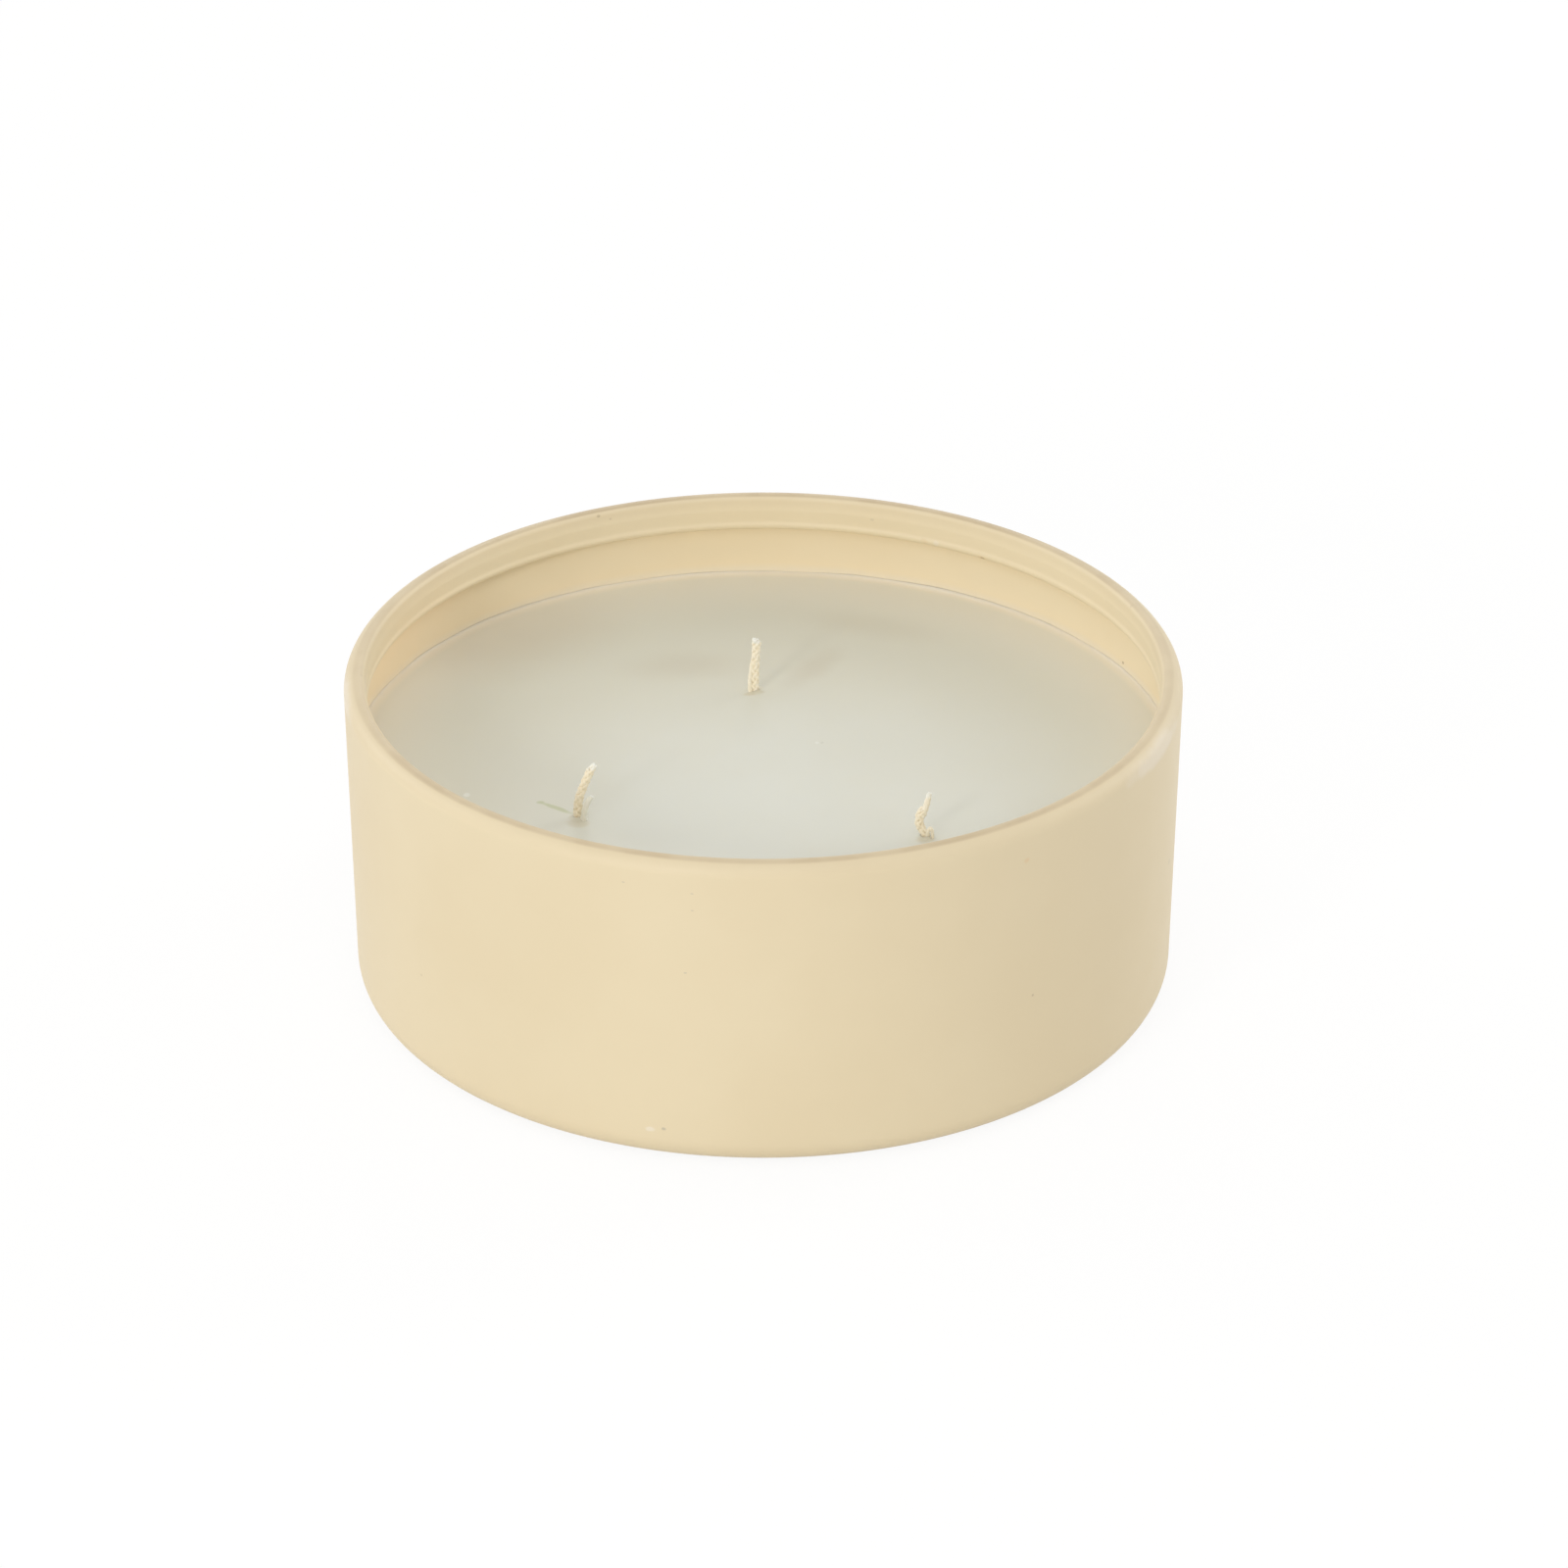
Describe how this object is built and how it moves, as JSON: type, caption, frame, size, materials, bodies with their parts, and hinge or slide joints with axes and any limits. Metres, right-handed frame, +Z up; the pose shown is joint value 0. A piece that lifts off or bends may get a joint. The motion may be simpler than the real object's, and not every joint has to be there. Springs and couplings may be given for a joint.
{
  "type": "metal container candle",
  "caption": "Low round candle poured in a cream painted sheet-metal tub with an inward folded rim, pale grey-green wax and short braided wicks.",
  "frame": {"origin": "middle of the flat foot ring that the tub stands on", "axes": "+Z up along the tub's axis, -Y towards the front, between the two front wicks, +X to the right of someone who faces the front"},
  "size_m": [0.15, 0.15, 0.06],
  "materials": {
    "cream_paint": "satin",
    "wax": "satin",
    "cotton_braid": "matte",
    "tinplate": "satin",
    "hot_melt": "satin"
  },
  "bodies": {
    "root": {"container": "cream_paint", "wax": "wax", "wick_rear": "cotton_braid", "wick_left": "cotton_braid", "wick_right": "cotton_braid", "sustainer_rear": "tinplate", "sustainer_left": "tinplate", "sustainer_right": "tinplate", "glue_dot_rear": "hot_melt", "glue_dot_left": "hot_melt", "glue_dot_right": "hot_melt"}
  },
  "joints": []
}
